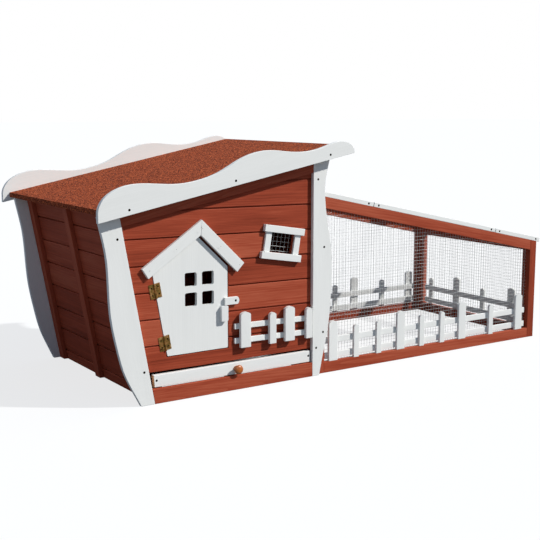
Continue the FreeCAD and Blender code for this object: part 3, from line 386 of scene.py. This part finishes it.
def grown(name, tree, values, places=((0, 0, 0),), outward=None):
    """The plain mesh that a tree grows at some places, each with the way that it faces."""
    seeds = bpy.data.meshes.new(name + "_places")
    seeds.from_pydata([tuple(p) for p in places], [], [])
    if outward:
        ways = seeds.attributes.new("outward", "FLOAT_VECTOR", "POINT").data
        ways.foreach_set("vector", [c for way in outward for c in way])
    piece = bpy.data.objects.new(name, seeds)
    scene.collection.objects.link(piece)
    nodes = piece.modifiers.new("nodes", "NODES")
    nodes.node_group = tree
    for item in tree.interface.items_tree:
        if item.in_out == "INPUT" and item.name in values:
            nodes[item.identifier] = values[item.name]
    scene_now = bpy.context.evaluated_depsgraph_get()
    mesh = bpy.data.meshes.new_from_object(piece.evaluated_get(scene_now))
    piece.modifiers.clear()
    piece.data = mesh
    mesh.shade_smooth()
    mesh.set_sharp_from_angle(angle=math.radians(40))
    return piece


nail_tree, inputs = tree_with("wire_nails", ("Radius", "Height"))
shape = {"Vertices": 12, "Radius": inputs["Radius"], "Depth": inputs["Height"]}
nail = add(nail_tree, "GeometryNodeMeshCylinder", shape).outputs["Mesh"]
set_out(nail_tree, inputs, nail)

painted_nail, tree = blank("painted_nail")
coordinates = add(tree, "ShaderNodeTexCoord").outputs["Object"]
specks = add(tree, "ShaderNodeTexNoise", {"Vector": coordinates, "Scale": 900.0}).outputs["Fac"]
greys = {0: specks, 6: srgb("#8E8C86"), 7: srgb("#B9B8B3")}
grey = add(tree, "ShaderNodeMix", greys, data_type="RGBA").outputs[2]
paint = add(tree, "ShaderNodeBsdfPrincipled", {"Base Color": grey, "Roughness": 0.55})
add(tree, "ShaderNodeOutputMaterial", {"Surface": paint.outputs[0]})

# Where the nails sit along a board, as shares of its length; the window's short boards have none
nail_sunk = 0.0001
places, ways = [], []
for node, shares, shortest in (
    ("gable_trims", (0.07, 0.5, 0.93), 0.0),
    ("window_boards", (0.05, 0.95), 0.12),
):
    for triangles in solids_of(node):
        along, across, face = lie_of_grain(triangles, None)
        face = face if face.y < 0 else -face
        corners = [Vector(c) for t in triangles for c in t]
        runs = [c.dot(along) for c in corners]
        rise = [c.dot(across) for c in corners]
        front = max(c.dot(face) for c in corners)
        if max(runs) - min(runs) > shortest:
            for share in shares:
                run = min(runs) + share * (max(runs) - min(runs))
                middle = (min(rise) + max(rise)) / 2
                places.append(along * run + across * middle + face * (front - nail_sunk))
                ways.append(face)
values = {"Radius": 0.0012, "Height": 0.0005, "Material": painted_nail}
nails = grown("trim_nails", nail_tree, values, places, ways)
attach(nails, "hutch")


# Bare wood inside
# Unstained pine runners under the tray and the roof's deck, which the felt and the bargeboards
# cover from above. Its own colour shows, with darker late wood in the rings.
pine = ("#C39C6C", "#D6B484", "#E6CBA0")
bare_pine = wood("bare_pine", pine, roughness=0.6, relief=0.0002, ring_share=0.5, shine=0.25)
roof_slope = 0.194
planed("tray_runners", bare_pine)
planed("roof_deck", bare_pine, along=(1, 0, roof_slope))


# Roofing felt
# Bitumen felt faced with red mineral granules, laid over the deck and turned down at both ends.
# The granules give it a rough, matt, speckled face with dark bitumen between them.
def dressed(node, material):
    """A node of the frame in a new finish."""
    slots = frame["nodes"][node].data.materials
    slots.clear()
    slots.append(material)


felt, tree = blank("red_mineral_felt")
coordinates = add(tree, "ShaderNodeTexCoord").outputs["Object"]
# Granules are 1 mm across on the roll and 3 mm here, so that they show
granules = add(tree, "ShaderNodeTexVoronoi", {"Vector": coordinates, "Scale": 350.0})
mottle = {"Vector": coordinates, "Scale": 560.0, "Detail": 2.0}
mottle = add(tree, "ShaderNodeTexNoise", mottle).outputs["Fac"]
grit = add(tree, "ShaderNodeSeparateColor", {"Color": granules.outputs["Color"]}).outputs[0]
mixed = add(tree, "ShaderNodeMix", {0: 0.45, 2: mottle, 3: grit}).outputs[0]
ramp = add(tree, "ShaderNodeValToRGB", {"Fac": mixed})
stops = ramp.color_ramp.elements
stops[0].position, stops[0].color = 0.33, srgb("#2C0C06")
stops[1].position, stops[1].color = 0.67, srgb("#C2643C")
stops.new(0.5).color = srgb("#7E3219")
bump = {"Strength": 0.8, "Distance": 0.0012, "Height": mixed}
bump = add(tree, "ShaderNodeBump", bump).outputs[0]
look = {"Base Color": ramp.outputs["Color"], "Roughness": 0.92, "Normal": bump}
look["Specular IOR Level"] = 0.1
rough = add(tree, "ShaderNodeBsdfPrincipled", look)
add(tree, "ShaderNodeOutputMaterial", {"Surface": rough.outputs[0]})
dressed("roof_felt", felt)


# Welded wire
# Galvanised 12.7 mm mesh, cut with shears and stapled inside the frames and under the top. The
# upright wires lie in front and the level ones are welded behind them; all bend a little.
def galvanised(name, dark, light, roughness, crystals):
    """Zinc on steel: a grey metal whose crystals, so many to the metre, differ a little in shade."""
    material, tree = blank(name)
    coordinates = add(tree, "ShaderNodeTexCoord").outputs["Object"]
    spangle = {"Vector": coordinates, "Scale": crystals}
    spangle = add(tree, "ShaderNodeTexVoronoi", spangle).outputs["Color"]
    level = add(tree, "ShaderNodeSeparateColor", {"Color": spangle}).outputs[0]
    greys = {0: level, 6: srgb(dark), 7: srgb(light)}
    grey = add(tree, "ShaderNodeMix", greys, data_type="RGBA").outputs[2]
    gloss = {"Value": level, "To Min": roughness - 0.06, "To Max": roughness + 0.08}
    gloss = add(tree, "ShaderNodeMapRange", gloss).outputs[0]
    metal = {"Base Color": grey, "Metallic": 1.0, "Roughness": gloss}
    zinc = add(tree, "ShaderNodeBsdfPrincipled", metal)
    add(tree, "ShaderNodeOutputMaterial", {"Surface": zinc.outputs[0]})
    return material


# Wires that cross are 1.8 radii apart at their middles, as the weld presses them together
wire_points, wire_sides, welded_apart = 22, 5, 1.8
nearly_level = 1e-6
wire_sizes = ("Width", "Tall side", "Slope", "Pitch", "Radius", "Waviness")
wire_tree, inputs = tree_with("welded_wire", wire_sizes)
unit = {"Start": (0, 0, 0), "End": (0, 0, 1)}
unit = add(wire_tree, "GeometryNodeCurvePrimitiveLine", unit).outputs[0]
stepped = {"Curve": unit, "Count": wire_points}
stepped = add(wire_tree, "GeometryNodeResampleCurve", stepped).outputs[0]
ring = {"Resolution": wire_sides, "Radius": inputs["Radius"]}
ring = add(wire_tree, "GeometryNodeCurvePrimitiveCircle", ring).outputs[0]
tube = {"Curve": stepped, "Profile Curve": ring, "Fill Caps": True}
tube = add(wire_tree, "GeometryNodeCurveToMesh", tube).outputs[0]


def counted(span):
    """How many wires fit into a span, with one at each end."""
    gaps = {0: span, 1: inputs["Pitch"]}
    gaps = add(wire_tree, "ShaderNodeMath", gaps, operation="DIVIDE").outputs[0]
    whole = add(wire_tree, "ShaderNodeMath", {0: gaps}, operation="FLOOR").outputs[0]
    return add(wire_tree, "ShaderNodeMath", {0: whole, 1: 1.0}, operation="ADD").outputs[0]


here = add(wire_tree, "GeometryNodeInputPosition").outputs[0]
parts = add(wire_tree, "ShaderNodeSeparateXYZ", {0: here}).outputs
step = add(wire_tree, "ShaderNodeCombineXYZ", {"X": inputs["Pitch"]}).outputs[0]
columns = {"Count": counted(inputs["Width"]), "Start Location": (0, 0, 0), "Offset": step}
columns = add(wire_tree, "GeometryNodeMeshLine", columns).outputs[0]
fall = {0: parts["X"], 1: inputs["Slope"]}
fall = add(wire_tree, "ShaderNodeMath", fall, operation="MULTIPLY").outputs[0]
tall = {0: inputs["Tall side"], 1: fall}
tall = add(wire_tree, "ShaderNodeMath", tall, operation="SUBTRACT").outputs[0]
stretch = add(wire_tree, "ShaderNodeCombineXYZ", {"X": 1.0, "Y": 1.0, "Z": tall}).outputs[0]
uprights = {"Points": columns, "Instance": tube, "Scale": stretch}
uprights = add(wire_tree, "GeometryNodeInstanceOnPoints", uprights).outputs[0]

behind = {0: inputs["Radius"], 1: welded_apart}
behind = add(wire_tree, "ShaderNodeMath", behind, operation="MULTIPLY").outputs[0]
first = add(wire_tree, "ShaderNodeCombineXYZ", {"Y": behind}).outputs[0]
step = add(wire_tree, "ShaderNodeCombineXYZ", {"Z": inputs["Pitch"]}).outputs[0]
rows = {"Count": counted(inputs["Tall side"]), "Start Location": first, "Offset": step}
rows = add(wire_tree, "GeometryNodeMeshLine", rows).outputs[0]
left = {0: inputs["Tall side"], 1: parts["Z"]}
left = add(wire_tree, "ShaderNodeMath", left, operation="SUBTRACT").outputs[0]
steep = {0: inputs["Slope"], 1: nearly_level}
steep = add(wire_tree, "ShaderNodeMath", steep, operation="MAXIMUM").outputs[0]
reach = add(wire_tree, "ShaderNodeMath", {0: left, 1: steep}, operation="DIVIDE").outputs[0]
reach = {0: reach, 1: inputs["Width"]}
reach = add(wire_tree, "ShaderNodeMath", reach, operation="MINIMUM").outputs[0]
stretch = add(wire_tree, "ShaderNodeCombineXYZ", {"X": 1.0, "Y": 1.0, "Z": reach}).outputs[0]
lying = (0, math.radians(90), 0)
levels = {"Points": rows, "Instance": tube, "Rotation": lying, "Scale": stretch}
levels = add(wire_tree, "GeometryNodeInstanceOnPoints", levels).outputs[0]

both = add(wire_tree, "GeometryNodeJoinGeometry")
wire_tree.links.new(uprights, both.inputs[0])
wire_tree.links.new(levels, both.inputs[0])
real = add(wire_tree, "GeometryNodeRealizeInstances", {"Geometry": both.outputs[0]}).outputs[0]
# The wires bend to and fro over some 70 mm
bends = {"Vector": here, "Scale": 14.0, "Detail": 1.0}
bends = add(wire_tree, "ShaderNodeTexNoise", bends).outputs["Color"]
centred = {0: bends, 1: (0.5, 0.5, 0.5)}
centred = add(wire_tree, "ShaderNodeVectorMath", centred, operation="SUBTRACT").outputs[0]
small = {0: centred, "Scale": inputs["Waviness"]}
small = add(wire_tree, "ShaderNodeVectorMath", small, operation="SCALE").outputs[0]
bent = add(wire_tree, "GeometryNodeSetPosition", {"Geometry": real, "Offset": small}).outputs[0]
ended(wire_tree, bent, inputs["Material"])

galvanised_wire = galvanised("galvanised_wire", "#9FA3A5", "#C6C9CA", roughness=0.42, crystals=900.0)
run_slope = math.tan(math.radians(12.25))
wire_pitch = 0.0127
window_wire_pitch = 0.0155
wire_radius = 0.00042
wire_waviness = 0.0007


def netting(node, along, upward, pitch, slope=0.0):
    """Welded wire in place of a node's sheets, each in the plane of two directions."""
    along, upward = Vector(along).normalized(), Vector(upward).normalized()
    normal = upward.cross(along)
    sheets = []
    for number, triangles in enumerate(solids_of(node)):
        corners = [Vector(c) for t in triangles for c in t]
        low = [min(c.dot(axis) for c in corners) for axis in (along, normal, upward)]
        high = [max(c.dot(axis) for c in corners) for axis in (along, normal, upward)]
        values = {
            "Width": high[0] - low[0], "Tall side": high[2] - low[2], "Slope": slope, "Pitch": pitch,
            "Radius": wire_radius, "Waviness": wire_waviness, "Material": galvanised_wire,
        }
        sheet = grown(node + "_wire_" + str(number), wire_tree, values)
        corner = along * low[0] + normal * (low[1] + wire_radius) + upward * low[2]
        place = Matrix((along, normal, upward)).transposed().to_4x4()
        place.translation = corner
        sheet.data.transform(place)
        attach(sheet, frame["nodes"][node]["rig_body"])
        sheets.append(sheet)
    return sheets


across = (0, 1, 0)
down_the_run = (1, 0, -run_slope)
for node in ("run_front_mesh", "run_rear_mesh"):
    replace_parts(netting(node, (1, 0, 0), (0, 0, 1), wire_pitch, run_slope)[0], node)
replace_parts(netting("run_end_mesh", across, (0, 0, 1), wire_pitch)[0], "run_end_mesh")
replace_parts(netting("lid_mesh", down_the_run, across, wire_pitch)[0], "lid_mesh")
for sheet in netting("fixed_top_meshes", down_the_run, across, wire_pitch):
    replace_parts(sheet, "fixed_top_meshes")
window_turn = math.tan(math.radians(9.5))
window_net = netting("window_mesh", (1, 0, -window_turn), (window_turn, 0, 1), window_wire_pitch)[0]
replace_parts(window_net, "window_mesh")


# Tray
# The painted strip was cut after painting, so its left end is bare wood. The pan is folded from
# galvanised sheet, whose zinc has crystals about 10 mm across. The knob is turned from beech,
# stained a warm orange-brown and varnished, so it has a clear highlight.
faces_left = -0.9
strip = planed("tray_front", white_painted_fir)
strip.data.materials.append(bare_pine)
for polygon in strip.data.polygons:
    if polygon.normal.x < faces_left:
        polygon.material_index = 1

galvanised_sheet = galvanised("galvanised_sheet", "#7E8386", "#A6ABAD", roughness=0.4, crystals=95.0)
dressed("tray_pan", galvanised_sheet)

low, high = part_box("tray_knob")
knob_middle = Vector(((low[0] + high[0]) / 2, 0, (low[2] + high[2]) / 2))
knob_radius = (high[0] - low[0]) / 2
knob_length = high[1] - low[1]
# The neck in shares of the knob's radius and length; the head is a flattened ball above it
neck_shares = ((0.62, 0.0), (0.64, 0.1), (0.6, 0.2), (0.46, 0.3), (0.44, 0.37))
head_share, head_start, head_steps, tip_radius = 0.62, 28, 16, 0.00002
profile = [(knob_radius * r, knob_length * d) for r, d in neck_shares]
for step in range(1, head_steps + 1):
    angle = math.radians(head_start + (180 - head_start) * step / head_steps)
    depth = knob_length * (1 - head_share / 2 - head_share / 2 * math.cos(angle))
    profile.append((max(knob_radius * math.sin(angle), tip_radius), depth))
sides = 48
turned = bmesh.new()
rings = []
for radius, depth in profile:
    ring = []
    for side in range(sides):
        angle = 2 * math.pi * side / sides
        out = Vector((radius * math.cos(angle), high[1] - depth, radius * math.sin(angle)))
        ring.append(turned.verts.new(knob_middle + out))
    rings.append(ring)
for inner, outer in zip(rings, rings[1:]):
    for side in range(sides):
        after = (side + 1) % sides
        turned.faces.new((inner[side], inner[after], outer[after], outer[side]))
turned.faces.new(rings[0])
turned.faces.new(rings[-1])
bmesh.ops.recalc_face_normals(turned, faces=turned.faces)
knob_mesh = bpy.data.meshes.new("turned_knob")
turned.to_mesh(knob_mesh)
turned.free()
knob_mesh.shade_smooth()
knob = bpy.data.objects.new("turned_knob", knob_mesh)
scene.collection.objects.link(knob)

varnished, tree = blank("varnished_beech")
coordinates = add(tree, "ShaderNodeTexCoord").outputs["Object"]
# Beech has short flecks; they are drawn 2 mm wide so that they show
flecked = add(tree, "ShaderNodeMapping", {"Vector": coordinates, "Scale": (90, 500, 500)}).outputs[0]
flecks = {"Vector": flecked, "Scale": 1.0, "Detail": 3.0}
flecks = add(tree, "ShaderNodeTexNoise", flecks).outputs["Fac"]
ramp = add(tree, "ShaderNodeValToRGB", {"Fac": flecks})
stops = ramp.color_ramp.elements
stops[0].position, stops[0].color = 0.3, srgb("#86400F")
stops[1].position, stops[1].color = 0.7, srgb("#C06A22")
look = {"Base Color": ramp.outputs["Color"], "Roughness": 0.35}
look.update({"Coat Weight": 0.35, "Coat Roughness": 0.12})
glossy = add(tree, "ShaderNodeBsdfPrincipled", look)
add(tree, "ShaderNodeOutputMaterial", {"Surface": glossy.outputs[0]})
knob_mesh.materials.append(varnished)
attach(knob, "tray")
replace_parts(knob, "tray_knob")


# Hinges
# Butt hinges pressed from steel and plated in yellow zinc, which is a thin greenish gold with pink
# and green clouds where the plating is thicker.
yellow_zinc, tree = blank("yellow_zinc_steel")
coordinates = add(tree, "ShaderNodeTexCoord").outputs["Object"]
clouds = {"Vector": coordinates, "Scale": 110.0, "Detail": 3.0}
clouds = add(tree, "ShaderNodeTexNoise", clouds).outputs["Fac"]
ramp = add(tree, "ShaderNodeValToRGB", {"Fac": clouds})
stops = ramp.color_ramp.elements
stops[0].position, stops[0].color = 0.3, srgb("#6E4028")
stops[1].position, stops[1].color = 0.72, srgb("#D4B078")
stops.new(0.43).color = srgb("#86733C")
stops.new(0.56).color = srgb("#B07E48")
# Fine lines from the rolls, 1 mm wide here so that they show
rolled = add(tree, "ShaderNodeMapping", {"Vector": coordinates, "Scale": (900, 900, 60)}).outputs[0]
lines = add(tree, "ShaderNodeTexNoise", {"Vector": rolled, "Scale": 1.0}).outputs["Fac"]
gloss = add(tree, "ShaderNodeMapRange", {"Value": lines, "To Min": 0.28, "To Max": 0.5}).outputs[0]
look = {"Base Color": ramp.outputs["Color"], "Metallic": 1.0, "Roughness": gloss}
plated = add(tree, "ShaderNodeBsdfPrincipled", look)
add(tree, "ShaderNodeOutputMaterial", {"Surface": plated.outputs[0]})
for node in (
    "door_hinge_wall_leaves", "roof_hinge_rail_leaves", "lid_hinge_rail_leaves", "hinge_pins",
    "door_hinge_leaves", "roof_hinge_leaves", "lid_hinge_leaves",
):
    dressed(node, yellow_zinc)


# Screws
# Countersunk steel screws with a cross recess, driven a little under the wood's face and flush in
# the hinges. Their heads are coloured almost black and show as dark dots beside the white paint.
def heads_of(node):
    """The middle of each screw's flat head and the way it faces."""
    smallest_area, same_height = 1e-13, 1e-5
    heads = []
    for triangles in solids_of(node):
        corners = [Vector(c) for t in triangles for c in t]
        discs = {}
        for a, b, c in (map(Vector, t) for t in triangles):
            cross = (b - a).cross(c - a)
            if cross.length > smallest_area:
                normal = cross.normalized()
                facing = tuple(round(v, 2) + 0.0 for v in normal)
                flat = discs.setdefault(facing, [0.0, Vector(), normal])
                flat[0] += cross.length
                flat[1] += cross.length * (a + b + c) / 3
        best = None
        for area, moment, normal in discs.values():
            middle = moment / area
            outermost = max((c - middle).dot(normal) for c in corners) < same_height
            if outermost and (best is None or area > best[0]):
                best = (area, middle, normal)
        heads.append(best[1:])
    return heads


screw_sizes = ("Head radius", "Head depth", "Shank radius", "Length", "Slot width", "Slot depth")
screw_tree, inputs = tree_with("cross_head_screws", screw_sizes)
cone = {
    "Vertices": 24, "Depth": inputs["Head depth"],
    "Radius Top": inputs["Head radius"], "Radius Bottom": inputs["Shank radius"],
}
cone = add(screw_tree, "GeometryNodeMeshCone", cone).outputs["Mesh"]
drop = {0: inputs["Head depth"], 1: -1.0}
drop = add(screw_tree, "ShaderNodeMath", drop, operation="MULTIPLY").outputs[0]
drop = add(screw_tree, "ShaderNodeCombineXYZ", {"Z": drop}).outputs[0]
head = add(screw_tree, "GeometryNodeTransform", {"Geometry": cone, "Translation": drop}).outputs[0]
bars = add(screw_tree, "GeometryNodeJoinGeometry")
for turn in (0, 90):
    size = {"X": inputs["Head radius"], "Y": inputs["Slot width"], "Z": inputs["Slot depth"]}
    size = add(screw_tree, "ShaderNodeCombineXYZ", size).outputs[0]
    bar = add(screw_tree, "GeometryNodeMeshCube", {"Size": size}).outputs["Mesh"]
    bar = {"Geometry": bar, "Rotation": (0, 0, math.radians(turn))}
    bar = add(screw_tree, "GeometryNodeTransform", bar)
    screw_tree.links.new(bar.outputs[0], bars.inputs[0])
cut = {"Mesh 1": head, "Mesh 2": bars.outputs[0]}
cut = add(screw_tree, "GeometryNodeMeshBoolean", cut, operation="DIFFERENCE")
shank = {"Vertices": 12, "Radius": inputs["Shank radius"], "Depth": inputs["Length"]}
shank = add(screw_tree, "GeometryNodeMeshCylinder", shank).outputs["Mesh"]
half = {0: inputs["Length"], 1: -0.5}
half = add(screw_tree, "ShaderNodeMath", half, operation="MULTIPLY").outputs[0]
drop = {0: half, 1: inputs["Head depth"]}
drop = add(screw_tree, "ShaderNodeMath", drop, operation="SUBTRACT").outputs[0]
drop = add(screw_tree, "ShaderNodeCombineXYZ", {"Z": drop}).outputs[0]
shank = add(screw_tree, "GeometryNodeTransform", {"Geometry": shank, "Translation": drop}).outputs[0]
whole = add(screw_tree, "GeometryNodeJoinGeometry")
screw_tree.links.new(cut.outputs[0], whole.inputs[0])
screw_tree.links.new(shank, whole.inputs[0])
set_out(screw_tree, inputs, whole.outputs[0])

# The screw heads' colour: almost black steel in faint blotches
near_black_steel, tree = blank("dark_zinc_screw")
coordinates = add(tree, "ShaderNodeTexCoord").outputs["Object"]
head_blotches = {"Vector": coordinates, "Scale": 700.0, "Detail": 2.0}
head_blotches = add(tree, "ShaderNodeTexNoise", head_blotches).outputs["Fac"]
shades = {0: head_blotches, 6: srgb("#0A0805"), 7: srgb("#2A2117")}
shade = add(tree, "ShaderNodeMix", shades, data_type="RGBA").outputs[2]
look = {"Base Color": shade, "Metallic": 1.0, "Roughness": 0.5}
dull = add(tree, "ShaderNodeBsdfPrincipled", look)
add(tree, "ShaderNodeOutputMaterial", {"Surface": dull.outputs[0]})

wood_screw = {"Head radius": 0.0042, "Head depth": 0.0024, "Shank radius": 0.0017}
hinge_screw = {"Head radius": 0.00245, "Head depth": 0.0013, "Shank radius": 0.0011}
slot_share, slot_cut = 0.28, 1.1
in_wood, flush = 0.0004, 0.0
for node, size, length, sunk in (
    ("post_screws", wood_screw, 0.024, in_wood), ("turn_button_screw", wood_screw, 0.018, in_wood),
    ("fixed_top_screws", wood_screw, 0.05, in_wood), ("lid_screws", wood_screw, 0.05, in_wood),
    ("bargeboard_screws", wood_screw, 0.034, in_wood), ("tray_screws", wood_screw, 0.015, in_wood),
    ("hinge_screws", hinge_screw, 0.007, flush), ("door_hinge_screws", hinge_screw, 0.007, flush),
    ("roof_hinge_screws", hinge_screw, 0.007, flush), ("lid_hinge_screws", hinge_screw, 0.007, flush),
):
    heads = heads_of(node)
    values = dict(size, Length=length, Material=near_black_steel)
    values["Slot width"] = size["Head radius"] * slot_share
    values["Slot depth"] = size["Head depth"] * slot_cut
    places = [middle - normal * sunk for middle, normal in heads]
    ways = [normal for middle, normal in heads]
    screws = grown(node + "_cross_head", screw_tree, values, places, ways)
    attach(screws, frame["nodes"][node]["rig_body"])
    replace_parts(screws, node)


# The boxes round the CAD model and round this one
size = {"cad": [list(c) for c in cad_box], "visual": [list(c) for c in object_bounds()]}
